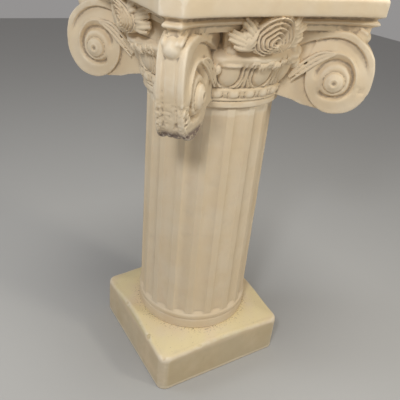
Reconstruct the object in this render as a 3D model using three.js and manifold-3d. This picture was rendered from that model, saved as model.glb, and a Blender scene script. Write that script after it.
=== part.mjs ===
import * as THREE from "three";
import { mergeVertices } from "three/addons/utils/BufferGeometryUtils.js";
import Module from "manifold-3d";

// A cast plaster column pedestal: a square plinth, a fluted shaft with its base rings,
// and a capital with four diagonal volutes. Millimetres, +Z up, the front face looks along -Y.
// The origin is the middle of the plinth's underside.

// Joints between the casts
const jointGap = 0.3;

// Plinth
const plinthWidth = 294;
const plinthCornerHeight = 86.5;
const plinthFrontArch = 7.5;
const plinthSideArch = 16;
const plinthSeatHeight = 100;
const plinthCornerRadius = 19;
const plinthTopRound = 5;
const plinthFootRound = 3;
const plinthSeatMargin = 1.5;

// Shaft
const shaftRadius = 115.3;
const shaftLength = 481.4;
const fluteCount = 18;
const fluteDepth = 4.2;
const fluteFilletWidth = 13.5;
const fluteTurn = 6.5;
const baseBandHeight = 21;
const baseBandProjection = 2.6;
const baseGrooveHeight = 2;
const baseGrooveDepth = 2.4;
const baseFilletHeight = 10.5;
const baseFilletProjection = 3.2;
const baseSplayHeight = 2.5;

// Collar, bead and reel, egg and dart of the capital
const collarHeight = 10.5;
const collarProjection = 7;
const collarGrooveHeight = 1.5;
const collarGrooveDepth = 3;
const ledgeHeight = 4.5;
const ledgeProjection = 9.5;
const beadHeight = 18.5;
const beadProjection = 14.3;
const beadTrackDepth = 5.5;
const beadCount = 28;
const beadTurn = 3.4;
const eggZoneHeight = 36;
const eggSlope = 12;
const eggWidth = 36;
const eggRelief = 11;
const eggSpacing = 24.5;
const eggTurn = 2.5;
const eggMiddle = 0.58;
const eggHalfHeight = 0.44;
const frameProjection = 4;
const dartWidth = 11;
const cushionHeight = 34;
const cushionProjection = 32;
const throatHeight = 21.5;
const throatProjection = 12;

// Abacus
const abacusWidth = 405;
const abacusHornWidth = 31;
const abacusHollow = 13;
const lowerFasciaHeight = 17;
const lowerFasciaInset = 39;
const lowerHornInset = 18;
const abacusFilletHeight = 3.5;
const abacusFilletProjection = 12;
const recessHeight = 9;
const upperFasciaHeight = 27.5;
const abacusEdgeRound = 4;

// Volutes
const voluteTopRadius = 83;
const voluteOutRadius = 62;
const voluteFootRadius = 53;
const voluteInRadius = 47;
const hangingFootRadius = 69;
const hangingOutRadius = 50;
const hangingInRadius = 48;
const voluteRimWidth = 36;
const voluteSplay = 7;
const voluteProud = 3.8;
const voluteBossRadius = 17;
const voluteBossHeight = 3;
const voluteDimpleRadius = 5.5;
const voluteCone = 5;
const voluteCoveDepth = 6;
const voluteFilletWidth = 9;
const voluteGrooveWidth = 11;
const voluteTopOverlap = 2.5;
const canalSetBack = 1;
const rimChannelDepth = 2.2;
const rimEdgeBand = 10;

// Roses and small leaves
const roseRadius = 33;
const roseDepth = 30;
const roseInset = 34;
const roseDrop = 12;
const leafThickness = 5;
const leafKeel = 16;
const huskThickness = 2.6;
const huskSink = 1;
const huskMargin = 4;
const budRadius = 10;
const budAside = 56;
const budSink = 4.8;
const budDrop = 9;
const knobLength = 19;

// Facets
const plinthSideSteps = 4;
const plinthCornerSteps = 3;
const fluteSteps = 4;
const ringSegments = 36;
const bellSegments = beadCount;
const voluteSteps = 16;
const roseSteps = 10;
const eggSteps = 7;
const abacusSideSteps = 4;

const wasm = await Module();
wasm.setup();

const radians = THREE.MathUtils.degToRad;
const point = (x, y, z) => new THREE.Vector3(x, y, z);

// The height of everything above the plinth's underside
const shaftFoot = plinthSeatHeight + jointGap;
const shaftTop = shaftFoot + shaftLength;
const capitalFoot = shaftTop + jointGap;
const ledgeLevel = capitalFoot + collarHeight + collarGrooveHeight;
const beadLevel = ledgeLevel + ledgeHeight;
const eggLevel = beadLevel + beadHeight;
const cushionLevel = eggLevel + eggZoneHeight;
const throatLevel = cushionLevel + cushionHeight;
const abacusFoot = throatLevel + throatHeight;
const recessLevel = abacusFoot + lowerFasciaHeight;
const upperFasciaLevel = recessLevel + recessHeight;
const topLevel = upperFasciaLevel + upperFasciaHeight;

// A closed surface through loops of equally many points. The loops run anticlockwise
// seen from where the loft is heading, and both ends are closed by a fan.
function loft(loops) {
  const count = loops[0].length;
  const middle = (loop) =>
    loop.reduce((sum, p) => sum.add(p), point(0, 0, 0)).divideScalar(count);
  const points = [middle(loops[0]), ...loops.flat(), middle(loops.at(-1))];
  const last = points.length - 1;
  const faces = [];
  for (let i = 0; i < count; i++) {
    const next = (i + 1) % count;
    faces.push(0, 1 + next, 1 + i);
    for (let k = 0; k + 1 < loops.length; k++) {
      const low = 1 + k * count;
      const high = low + count;
      faces.push(low + i, low + next, high + next);
      faces.push(low + i, high + next, high + i);
    }
    faces.push(last, last - count + i, last - count + next);
  }
  const geometry = new THREE.BufferGeometry().setFromPoints(points);
  geometry.setIndex(faces);
  return geometry;
}

// A rod along a path, with a regular section whose radius is given along the path.
function rod(path, radiusAt, sides, steps) {
  const frames = path.computeFrenetFrames(steps, false);
  const loops = [];
  for (let k = 0; k <= steps; k++) {
    const centre = path.getPointAt(k / steps);
    const radius = radiusAt(k / steps);
    const loop = [];
    for (let i = 0; i < sides; i++) {
      const angle = (i / sides) * 2 * Math.PI;
      loop.push(
        centre
          .clone()
          .addScaledVector(frames.normals[k], radius * Math.cos(angle))
          .addScaledVector(frames.binormals[k], radius * Math.sin(angle)),
      );
    }
    loops.push(loop);
  }
  return loft(loops);
}

// A pointed leaf with a raised midrib, from its root to its tip. The keel behind it thins to the tip.
function leaf(root, tip, facing, width, curl) {
  const along = tip.clone().sub(root);
  const across = along.clone().cross(facing).normalize();
  const loops = [0, 0.45, 1].map((share) => {
    const half = share === 0.45 ? width / 2 : width / 8;
    const centre = root.clone().addScaledVector(along, share);
    centre.addScaledVector(facing, curl * Math.sin(Math.PI * share));
    const rib = (leafThickness * half) / width;
    return [
      centre.clone().addScaledVector(across, half).addScaledVector(facing, -rib),
      centre.clone().addScaledVector(facing, -leafKeel * (1 - 0.5 * share)),
      centre.clone().addScaledVector(across, -half).addScaledVector(facing, -rib),
      centre.clone().addScaledVector(facing, rib),
    ];
  });
  return loft(loops);
}

function solidOf(geometry) {
  const loose = geometry.index ? geometry.toNonIndexed() : geometry;
  const bare = new THREE.BufferGeometry();
  bare.setAttribute("position", loose.getAttribute("position"));
  const merged = mergeVertices(bare, 1e-3);
  return new wasm.Manifold(
    new wasm.Mesh({
      numProp: 3,
      vertProperties: merged.attributes.position.array,
      triVerts: new Uint32Array(merged.index.array),
    }),
  );
}

function join(geometries) {
  const whole = geometries.map(solidOf).reduce((sum, part) => sum.add(part));
  const { vertProperties, triVerts } = whole.getMesh();
  const geometry = new THREE.BufferGeometry();
  geometry.setAttribute("position", new THREE.BufferAttribute(vertProperties, 3));
  geometry.setIndex(new THREE.BufferAttribute(triVerts, 1));
  return geometry;
}

// The same form on all four faces of the capital.
function onFourFaces(make) {
  return [0, 1, 2, 3].flatMap((face) =>
    make(face).map((geometry) => geometry.rotateZ((face * Math.PI) / 2)),
  );
}

// Plinth: a rounded square, seen from above, with its edges running round the four corners.
function plinthOutline(inset) {
  const half = plinthWidth / 2 - inset;
  const radius = Math.max(plinthCornerRadius - inset, 1);
  const straight = half - radius;
  const outline = [];
  for (let side = 0; side < 4; side++) {
    const turn = (side * Math.PI) / 2;
    const place = (x, y) => outline.push(point(x, y, 0).applyAxisAngle(point(0, 0, 1), turn));
    for (let i = 0; i <= plinthSideSteps; i++)
      place(straight * ((2 * i) / plinthSideSteps - 1), -half);
    for (let i = 1; i < plinthCornerSteps; i++) {
      const angle = ((i / plinthCornerSteps) * Math.PI) / 2;
      place(straight + radius * Math.sin(angle), -straight - radius * Math.cos(angle));
    }
  }
  return outline;
}

// The top edge arches up towards the middle of each side, more on the left and right.
function plinthEdgeHeight(p) {
  const half = plinthWidth / 2;
  const onFront = Math.abs(p.y) > Math.abs(p.x);
  const share = Math.min(Math.abs(p.x), Math.abs(p.y)) / half;
  const arch = onFront ? plinthFrontArch : plinthSideArch;
  return plinthCornerHeight + (arch * (1 + Math.cos(Math.PI * share))) / 2;
}

function makePlinth() {
  const seatRadius = shaftRadius + baseBandProjection + plinthSeatMargin;
  const level = (inset, height) =>
    plinthOutline(inset).map((p) => p.setZ(typeof height === "number" ? height : height(p)));
  const edge = (drop) => (p) => plinthEdgeHeight(p) - drop;
  const rim = level(plinthTopRound, edge(0));
  const seat = rim.map((p) => p.clone().setZ(0).setLength(seatRadius).setZ(plinthSeatHeight));
  const dome = rim.map((p, i) => {
    const between = p.clone().lerp(seat[i], 0.5);
    between.z += 0.3 * Math.abs(seat[i].z - p.z) * Math.sign(seat[i].z - p.z);
    return between;
  });
  return loft([
    level(plinthFootRound, 0),
    level(plinthFootRound * 0.3, plinthFootRound * 0.3),
    level(0, plinthFootRound),
    level(0, edge(plinthTopRound)),
    level(plinthTopRound * 0.3, edge(plinthTopRound * 0.3)),
    rim,
    dome,
    seat,
  ]);
}

// Shaft: flat fillets between shallow round flutes, and two rings at the foot.
function fluteSection() {
  const pitch = (2 * Math.PI) / fluteCount;
  const fillet = fluteFilletWidth / shaftRadius;
  const flute = pitch - fillet;
  const section = [];
  for (let n = 0; n < fluteCount; n++) {
    const start = radians(fluteTurn - 90) + n * pitch + fillet / 2;
    for (let i = 0; i <= fluteSteps; i++) {
      const share = i / fluteSteps;
      const radius = shaftRadius - fluteDepth * Math.sin(Math.PI * share) ** 0.75;
      const angle = start + share * flute;
      section.push(new THREE.Vector2(radius * Math.cos(angle), radius * Math.sin(angle)));
    }
  }
  return new THREE.Shape(section);
}

function makeShaft() {
  const drum = new THREE.ExtrudeGeometry(fluteSection(), {
    depth: shaftLength,
    bevelEnabled: false,
    steps: 1,
  }).translate(0, 0, shaftFoot);
  const band = shaftRadius + baseBandProjection;
  const groove = band - baseGrooveDepth;
  const fillet = shaftRadius + baseFilletProjection;
  const core = shaftRadius - 2 * fluteDepth;
  const bandTop = shaftFoot + baseBandHeight;
  const filletFoot = bandTop + baseGrooveHeight;
  const filletTop = filletFoot + baseFilletHeight;
  const profile = [
    [0, shaftFoot],
    [band, shaftFoot],
    [band, bandTop - 1],
    [groove, bandTop],
    [groove, filletFoot],
    [fillet, filletFoot + 1],
    [fillet, filletTop - 1],
    [core, filletTop + baseSplayHeight],
    [0, filletTop + baseSplayHeight],
  ].map(([r, z]) => new THREE.Vector2(r, z));
  const rings = new THREE.LatheGeometry(profile, ringSegments).rotateX(Math.PI / 2);
  return join([drum, rings]);
}

// Bell: the turned body of the capital, from the collar to the abacus.
const bellRadius = shaftRadius + collarProjection;
const beadTrackRadius = shaftRadius + beadProjection - beadTrackDepth;
const eggFootRadius = beadTrackRadius + 2;
const eggTopRadius = eggFootRadius + eggSlope;
const cushionRadius = shaftRadius + cushionProjection;
const throatRadius = shaftRadius + throatProjection;

function makeBell() {
  const profile = [
    [0, capitalFoot],
    [bellRadius, capitalFoot],
    [bellRadius, capitalFoot + collarHeight],
    [bellRadius - collarGrooveDepth, ledgeLevel - collarGrooveHeight / 2],
    [shaftRadius + ledgeProjection, ledgeLevel],
    [shaftRadius + ledgeProjection, beadLevel - 1],
    [beadTrackRadius, beadLevel + 1],
    [beadTrackRadius, eggLevel - 2],
    [eggFootRadius, eggLevel],
    [eggTopRadius, cushionLevel],
    [cushionRadius - 2, cushionLevel + cushionHeight * 0.2],
    [cushionRadius - 2, cushionLevel + cushionHeight * 0.6],
    [throatRadius, throatLevel],
    [throatRadius, abacusFoot + lowerFasciaHeight / 2],
    [0, abacusFoot + lowerFasciaHeight / 2],
  ].map(([r, z]) => new THREE.Vector2(r, z));
  return new THREE.LatheGeometry(profile, bellSegments).rotateX(Math.PI / 2);
}

// A ring of long beads with a nick between each two, sunk in the track.
function makeBeads() {
  const reach = shaftRadius + beadProjection;
  const track = beadTrackRadius - 2;
  const levels = [
    [0.08, 0, 0],
    [0.28, 1, 0.3],
    [0.72, 1, 0.3],
    [0.92, 0, 0],
  ];
  const nicks = [-0.32, 0.32, 0.5];
  return loft(
    levels.map(([share, crown, nick]) =>
      Array.from({ length: beadCount * nicks.length }, (_, i) => {
        const at = nicks[i % nicks.length];
        const bead = Math.floor(i / nicks.length) + at;
        const angle = radians(beadTurn) + (bead / beadCount) * 2 * Math.PI;
        const radius = track + (reach - track) * (at === 0.5 ? nick : crown);
        const z = beadLevel + beadHeight * share;
        return point(radius * Math.cos(angle), radius * Math.sin(angle), z);
      }),
    ),
  );
}

// Place on the sloping egg zone: an angle from the face's middle and a share of its height.
function onEggZone(angle, share, proud) {
  const radius = eggFootRadius + eggSlope * share + proud;
  const a = radians(angle - 90);
  const z = eggLevel + eggZoneHeight * share;
  return point(radius * Math.cos(a), radius * Math.sin(a), z);
}

// An egg in its raised frame: rings from the frame's buried foot in to the egg's crown.
function makeEgg(angle) {
  const rings = [
    [1.28, -10],
    [1.16, frameProjection],
    [0.98, 0.6],
    [0.8, eggRelief * 0.6],
    [0.4, eggRelief],
  ];
  const halfAngle = THREE.MathUtils.radToDeg(eggWidth / 2 / eggFootRadius);
  return loft(
    rings.map(([reach, proud]) =>
      Array.from({ length: eggSteps }, (_, i) => {
        const a = (i / eggSteps) * 2 * Math.PI;
        const share = eggMiddle + eggHalfHeight * reach * Math.sin(a);
        return onEggZone(angle + halfAngle * reach * Math.cos(a), share, proud);
      }),
    ),
  );
}

function makeDart(angle) {
  const path = new THREE.CatmullRomCurve3([
    onEggZone(angle, 1.05, 4),
    onEggZone(angle, 0.5, 4),
    onEggZone(angle, 0.12, 2),
  ]);
  return rod(path, (share) => (dartWidth / 2) * (1 - 0.7 * share), 4, 2);
}

function makeEggs() {
  return onFourFaces(() => [
    ...[-1, 0, 1].map((n) => makeEgg(eggTurn + n * eggSpacing)),
    ...[-0.5, 0.5].map((n) => makeDart(eggTurn + n * eggSpacing)),
  ]);
}

// Abacus: hollow sides between four blunt horns. The lower mouldings are hollowed more,
// so that they run out under the horns.
function abacusOutline(inset, hornInset, z) {
  const half = abacusWidth / 2 - hornInset;
  const corner = abacusWidth / 2 - abacusHornWidth / Math.SQRT2 - hornInset * Math.tan(Math.PI / 8);
  const hollow = abacusHollow + inset - hornInset;
  const sharpness = 2 + (4 * (inset - hornInset)) / lowerFasciaInset;
  const outline = [];
  for (let side = 0; side < 4; side++)
    for (let i = 0; i <= abacusSideSteps; i++) {
      const share = (2 * i) / abacusSideSteps - 1;
      const y = half - hollow * (1 - Math.abs(share) ** sharpness);
      const turn = (side * Math.PI) / 2;
      outline.push(point(corner * share, -y, z).applyAxisAngle(point(0, 0, 1), turn));
    }
  return outline;
}

function makeAbacus() {
  const filletInset = lowerFasciaInset - abacusFilletProjection;
  const filletHornInset = Math.max(lowerHornInset - abacusFilletProjection, 1);
  const filletFoot = recessLevel - abacusFilletHeight;
  return loft([
    abacusOutline(lowerFasciaInset, lowerHornInset, abacusFoot),
    abacusOutline(lowerFasciaInset - 3, lowerHornInset - 3, filletFoot - 1),
    abacusOutline(filletInset, filletHornInset, filletFoot + 0.5),
    abacusOutline(filletInset, filletHornInset, recessLevel),
    abacusOutline(filletInset + 5, filletHornInset + 5, upperFasciaLevel - 1),
    abacusOutline(abacusEdgeRound, abacusEdgeRound, upperFasciaLevel),
    abacusOutline(0, 0, upperFasciaLevel + abacusEdgeRound / 2),
    abacusOutline(0, 0, topLevel - abacusEdgeRound),
    abacusOutline(abacusEdgeRound, abacusEdgeRound, topLevel),
  ]);
}

// Volute: each stands on a diagonal, with a spiral face on both sides. Its own frame is
// s outwards from the pedestal's axis, w up from the eye, c across towards one face.
const hornReach = abacusWidth / Math.SQRT2 - abacusHornWidth / 2;
const eyeReach = hornReach + voluteProud - voluteOutRadius;
const eyeLevel = abacusFoot + voluteTopOverlap - voluteTopRadius;
const splay = Math.tan(radians(voluteSplay));

// The husks' line from the bell to their tip, as shares of the volute's top radius.
const huskLine = [
  [-1.4, 0],
  [-0.9, 0.1],
  [-0.62, 0.34],
  [-0.35, 0.5],
  [-0.1, 0.57],
];

// Radii of a volute's face at the top, out, foot and in directions from its eye.
const standardVolute = [voluteTopRadius, voluteOutRadius, voluteFootRadius, voluteInRadius];
const hangingVolute = [voluteTopRadius, hangingOutRadius, hangingFootRadius, hangingInRadius];

// The radius at an angle between four directions, eased from one to the next.
function easedRadius(four, angle) {
  const quarters = (((Math.PI / 2 - angle) / (Math.PI / 2)) % 4 + 4) % 4;
  const i = Math.floor(quarters);
  const share = quarters - i;
  const ease = share * share * (3 - 2 * share);
  return four[i] + (four[(i + 1) % 4] - four[i]) * (0.5 * share + 0.5 * ease);
}

const faceAcross = (s) => voluteRimWidth / 2 + (eyeReach + voluteOutRadius - s) * splay;

// One loop of a volute, at a radius from the eye and a lift over the flat of the face.
function voluteLoop(four, trim, side, lift) {
  return Array.from({ length: voluteSteps }, (_, i) => {
    const angle = (i / voluteSteps) * 2 * Math.PI;
    const radius = easedRadius(four, angle) - trim;
    const s = eyeReach + radius * Math.cos(angle);
    return point(s, side * (faceAcross(s) + lift), eyeLevel + radius * Math.sin(angle));
  });
}

function makeVolute(outer) {
  const even = (radius) => [radius, radius, radius, radius];
  const between = (inner, share) => outer.map((radius, i) => inner[i] + (radius - inner[i]) * share);
  const groove = between(even(voluteBossRadius), 0.22);
  const ridge = groove.map((radius, i) => radius + voluteGrooveWidth * [1.3, 0.8, 0.7, 1.3][i]);
  const face = [
    [even(voluteDimpleRadius), 0, voluteCone + voluteBossHeight],
    [even(voluteBossRadius), 0, voluteCone],
    [groove, 0, 0],
    [ridge, 0, voluteCone * 0.6],
    [between(ridge, 0.5), 0, -voluteCoveDepth * 0.7],
    [outer, voluteFilletWidth, 0],
    [outer, 0, 0],
    [outer, rimChannelDepth, -rimEdgeBand],
  ];
  return loft([
    ...face.map(([four, trim, lift]) => voluteLoop(four, trim, 1, lift)),
    ...face.reverse().map(([four, trim, lift]) => voluteLoop(four, trim, -1, lift)),
  ]);
}

// A slab between the two faces of a volute, set back from them, from its outline in s and w.
function slab(outline, setBack) {
  return loft(
    [1, -1].map((side) =>
      outline.map(([s, w]) => point(s, side * (faceAcross(s) - setBack), eyeLevel + w)),
    ),
  );
}

// The bulk between the volute and the bell. From a little below the husks upwards it is flush
// with the volute's faces, and below that it is cut back.
function makeNeck() {
  const inner = throatRadius * 0.4;
  const lower = [
    [inner, -voluteFootRadius * 0.66],
    [throatRadius + 2, -voluteFootRadius * 0.66],
    [eyeReach - voluteInRadius, -voluteFootRadius * 0.83],
    [eyeReach, -voluteFootRadius * 0.9],
    [eyeReach, voluteTopRadius * 0.9],
    [eyeReach - voluteInRadius, voluteTopRadius],
    [inner, voluteTopRadius],
  ];
  const upper = [
    ...huskLine.map(([t, w]) => [eyeReach + voluteTopRadius * t, voluteTopRadius * w - huskMargin]),
    [eyeReach, voluteTopRadius - 2],
    [eyeReach - voluteTopRadius * 1.4, voluteTopRadius - 2],
  ];
  return [slab(lower, voluteCoveDepth + 1), slab(upper, canalSetBack)];
}

// Husks: slender fronds that grow from the bell over the volute's second turn.
function makeHusk(side) {
  const path = new THREE.CatmullRomCurve3(
    huskLine.slice(1).map(([t, w]) => {
      const s = eyeReach + voluteTopRadius * t;
      return point(s, side * (faceAcross(s) - huskSink), eyeLevel + voluteTopRadius * w);
    }),
  );
  return rod(path, (share) => huskThickness * (1.6 - share), 3, 3);
}

// The rounded leaf that laps over the rim under the horn.
function makeKnob() {
  const knob = new THREE.SphereGeometry(1, 6, 5).rotateX(Math.PI / 2);
  knob.scale(knobLength * 1.3, voluteRimWidth * 0.47, knobLength);
  const s = eyeReach + voluteOutRadius * 0.68 - knobLength * 1.3;
  return knob.translate(s, 0, eyeLevel + voluteTopRadius * 0.84);
}

function makeVolutes() {
  return onFourFaces((face) => {
    const outline = face === 3 ? hangingVolute : standardVolute;
    const pieces = [makeVolute(outline), ...makeNeck(), makeHusk(1), makeHusk(-1), makeKnob()];
    return pieces.map((geometry) => geometry.rotateZ(-Math.PI / 4));
  });
}

// Rose: rings of scalloped petals round a bud, facing outwards from the abacus's hollow side.
const sideReach = abacusWidth / 2 - abacusHollow;
const roseLevel = abacusFoot - roseDrop;

function makeRose() {
  const rings = [
    [0.75, -1, 0],
    [1, 0.05, 0.1],
    [0.95, 0.3, 0.1],
    [0.62, 0.34, 0.03],
    [0.66, 0.62, 0.12],
    [0.34, 0.6, 0.04],
    [0.32, 0.86, 0.14],
    [0.1, 0.72, 0],
  ];
  const petals = 5;
  const loops = rings.map(([reach, out, scallop], k) => {
    const loop = [];
    for (let i = 0; i < roseSteps; i++) {
      const angle = (i / roseSteps) * 2 * Math.PI;
      const wave = 1 + scallop * Math.cos(petals * angle + k * 2.1);
      const radius = roseRadius * reach * wave;
      loop.push(
        point(
          radius * Math.cos(angle),
          -(sideReach - roseInset) - roseDepth * out,
          roseLevel + radius * Math.sin(angle),
        ),
      );
    }
    return loop;
  });
  return loft(loops);
}

function makeRoseLeaves() {
  const y = -(sideReach - roseInset) + 2;
  const out = point(0, -1, 0);
  const spread = [
    [-0.4, 0, -2.5, 0.2, 24, 5],
    [0.4, 0.4, 1.9, 0.95, 18, 4],
    [0.1, 0.6, 0.5, 1.35, 18, 6],
  ];
  return spread.map(([x0, z0, x1, z1, width, curl]) =>
    leaf(
      point(roseRadius * x0, y, roseLevel + roseRadius * z0),
      point(roseRadius * x1, y - 6, roseLevel + roseRadius * z1),
      out,
      width,
      curl,
    ),
  );
}

// The bud beside the rose, sunk in the bell's cushion.
function makeBud() {
  const bud = new THREE.SphereGeometry(budRadius, 6, 5);
  const y = -Math.sqrt((cushionRadius - budSink) ** 2 - budAside ** 2);
  return bud.translate(-budAside, y, throatLevel - budDrop);
}

function makeCapital() {
  return join([
    makeBell(),
    makeBeads(),
    ...makeEggs(),
    makeAbacus(),
    ...makeVolutes(),
    ...onFourFaces(() => [makeRose(), ...makeRoseLeaves(), makeBud()]),
  ]);
}

const plaster = new THREE.MeshStandardMaterial({ color: 0xe2d6b8, roughness: 0.85, metalness: 0 });
const agedPlaster = new THREE.MeshStandardMaterial({ color: 0xe3d4a6, roughness: 0.85, metalness: 0 });

function piece(name, geometry, material) {
  const mesh = new THREE.Mesh(geometry, material);
  mesh.name = name;
  return mesh;
}

const pedestal = new THREE.Group();
pedestal.add(piece("plinth", makePlinth(), agedPlaster));
pedestal.add(piece("shaft", makeShaft(), plaster));
pedestal.add(piece("capital", makeCapital(), plaster));

export default pedestal;
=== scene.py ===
"""The looks of a cast plaster column pedestal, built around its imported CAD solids.

The carving is worked out in millimetres, in the solids' own frame: +Z up, the front face looks
along -Y, and the origin is the middle of the plinth's underside.
"""

import bpy
import numpy as np
from mathutils import Matrix


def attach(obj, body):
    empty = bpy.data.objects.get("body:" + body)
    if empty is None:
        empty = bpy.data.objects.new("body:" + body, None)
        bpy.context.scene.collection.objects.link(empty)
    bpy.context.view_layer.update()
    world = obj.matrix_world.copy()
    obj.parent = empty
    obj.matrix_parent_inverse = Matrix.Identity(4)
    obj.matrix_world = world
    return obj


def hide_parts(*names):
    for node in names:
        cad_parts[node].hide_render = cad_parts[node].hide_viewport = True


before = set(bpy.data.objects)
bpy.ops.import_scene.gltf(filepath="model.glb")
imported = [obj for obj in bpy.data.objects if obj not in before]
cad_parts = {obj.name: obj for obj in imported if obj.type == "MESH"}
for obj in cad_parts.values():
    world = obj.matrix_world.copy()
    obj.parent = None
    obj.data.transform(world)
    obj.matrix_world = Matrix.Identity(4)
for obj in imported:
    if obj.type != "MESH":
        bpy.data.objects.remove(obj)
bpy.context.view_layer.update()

MILLIMETRE = 0.001

# Camera, at the photograph's place
CAMERA_PLACE = (-0.4792, -0.7340, 0.8299)
CAMERA_AZIMUTH = -33.554
CAMERA_ELEVATION = 28.912
CAMERA_ROLL = 5.725
FOCAL_PIXELS = 484.72
IMAGE_CENTRE = (202.884, 199.006)
IMAGE_SIDE = 400
SENSOR_WIDTH = 36

# Levels and radii of the column
PLINTH_HALF = 147.0
PLINTH_CORNER = 19.0
PLINTH_EDGE = 86.5
FRONT_ARCH = 7.5
SIDE_ARCH = 16.0
SEAT_LEVEL = 100.0
SEAT_RADIUS = 119.4
SHAFT_FOOT = 100.3
SHAFT_TOP = 581.7
SHAFT_RADIUS = 115.3
FLUTES = 18
FLUTE_DEPTH = 4.6
FLUTE_FILLET = 13.5
FLUTE_TURN = 6.5
CAPITAL_FOOT = 582.0
ABACUS_FOOT = 708.5
RECESS_LEVEL = 725.5
FASCIA_LEVEL = 734.5
TOP_LEVEL = 762.0
BEADS = 28
BEAD_TURN = 10.0
BEAD_RELIEF = 6.5
BEAD_MIDDLE = 607.4
BEAD_HALF_HEIGHT = 8.4
ROLL_MIDDLE = 612.6
ROLL_HALF_HEIGHT = 3.4
EGG_TURN = 2.5
EGG_SPACING = 24.5
EGG_HALF_WIDTH = 17.0
EGG_HALF_HEIGHT = 20.5
EGG_RELIEF = 8.5
EGG_MIDDLE = 640
EGG_BELL_RADIUS = 131
# Nearly half the arc between two eggs' middles: 115 stands for twice 180 / pi.
EGG_HALF_GAP = EGG_SPACING * EGG_BELL_RADIUS / 115
CUSHION_RADIUS = 145.3
FULL_LEVEL = 667
FULLNESS = 9.5
FILL_RADIUS = 147.5
FACE_HALF_ANGLES = (37, 27)
FOLD_DEPTH = 1.9

# Abacus
ABACUS_HALF = 202.5
HORN_WIDTH = 31.0
ABACUS_HOLLOW = 13.0
FASCIA_INSET = 39.0
HORN_INSET = 18.0

# Volutes: t runs outwards and w up from the eye
VOLUTE_TOP = 83.0
VOLUTE_OUT = 62.0
RIM_WIDTH = 36.0
SPLAY = np.tan(np.radians(7))
EYE_REACH = 2 * ABACUS_HALF / np.sqrt(2) - HORN_WIDTH / 2 + 3.8 - VOLUTE_OUT
EYE_LEVEL = ABACUS_FOOT + 2.5 - VOLUTE_TOP
STANDARD_OUTLINE = [
    (-5, 82), (13, 80), (30, 71), (44, 60), (56, 44), (61, 26), (62, 6), (59, -15), (47, -36),
    (31, -49), (10, -54), (-10, -52), (-28, -41), (-41, -24), (-47, -6), (-48, 14), (-47, 40), (-34, 70),
]
HANGING_OUTLINE = [
    (9, 83), (38, 74), (47, 60), (50, 40), (50, 20), (47, 0), (41, -24), (33, -46), (17, -63),
    (0, -69), (-19, -66), (-37, -53), (-49, -33), (-51, -13), (-50, 12), (-47, 40), (-30, 72),
]
COVE_PATH = [
    (-96, 36), (-80, 45), (-62, 56), (-40, 65), (-20, 70), (0, 71), (20, 65), (39, 50), (50, 30), (55, 8),
]
TURN_PATH = [(-47, 27), (-30, 39), (-10, 46), (6, 46), (20, 39), (30, 24), (34, 6), (31, -14)]
GROOVE_PATH = [
    (-31, -2), (-29, 15), (-17, 29), (0, 34), (17, 29), (27, 15), (29, 0), (24, -15), (12, -24), (-2, -26),
    (-16, -22), (-25, -10),
]
HUSK_PATHS = [
    [(-76, 2), (-62, 20), (-45, 36), (-28, 46), (-8, 48)],
    [(-74, -1), (-57, 16), (-40, 31), (-24, 41), (-7, 46)],
    [(-71, -5), (-52, 12), (-36, 26), (-22, 36), (-7, 44)],
]
BOSS_RADIUS = 17.0
BOSS_RISE = 7.0
DIMPLE_RADIUS = 4.6
DIMPLE_DEPTH = 3.5
CONE_RISE = 6.0
CONE_RADIUS = 46
COVE_DEPTH = 8.0
TURN_RISE = 4.2
GROOVE_DEPTH = 9.5

# Rose, leaves and buds, from the plane behind the rose
ROSE_PLANE = 155.5
BUD_ASIDE = -6.0
BUD_LEVEL = 695.0
BUD_OUT = 20.0
ROSE_REACH = [
    (-160, 37), (-135, 27), (-90, 14), (-45, 22), (0, 36),
    (45, 38), (75, 42), (98, 47), (125, 43), (160, 39),
]
ROSE_EDGE_OUT = [
    (-135, 7), (-90, 9), (-45, 10), (0, 12), (45, 22), (75, 33), (100, 35), (130, 24), (160, 9),
]
PETAL_TURNS = 5.8
PETAL_LIP = 7.5

# Chips: place, width and depth
CAPITAL_MARKS = [
    ((188.0, -202.0, 645.0), 5.0, 3.0), ((170.4, -194.1, 620.0), 8.0, 0.8), ((180.0, -199.0, 610.0), 6.0, 0.9),
    ((-158.0, -188.0, 600.0), 5.0, 2.0), ((-188.0, -160.0, 596.0), 5.0, 2.0),
]
PLINTH_MARKS = [
    ((-147, -78, 91), 7, 4.0), ((-147, 30, 97), 5, 1.5),
    ((-60, -147, 90), 6, 1.2), ((-139, -139, 84), 6, 1.5),
]
SEAM_LEVEL = 335
FRONT_HALF_WIDTH = (36, 30)

# Mesh
CAPITAL_VOXEL = 1.3
FLOWER_VOXEL = 1.1
PIECE_TRIANGLES = 190000
LEAST_HOLLOW = 0.25


def noise(points, size, seed):
    """Smooth noise from -1 to 1, in lumps of about a size."""
    table = np.random.default_rng(seed).uniform(-1, 1, (16, 16, 16))
    scaled = np.asarray(points) / size + 50.0
    cell = np.floor(scaled).astype(int)
    share = scaled - cell
    share = share * share * (3 - 2 * share)
    total = np.zeros(len(scaled))
    for corner in np.ndindex(2, 2, 2):
        weight = np.where(corner, share, 1 - share).prod(axis=1)
        total += weight * table[tuple(((cell + corner) % 16).T)]
    return total


def step(low, high, value):
    """Eases from 0 at low to 1 at high."""
    share = np.clip((value - low) / (high - low), 0, 1)
    return share * share * (3 - 2 * share)


def bump(value, width):
    """A ridge of height 1 at 0."""
    return np.exp(-((value / width) ** 2))


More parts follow.
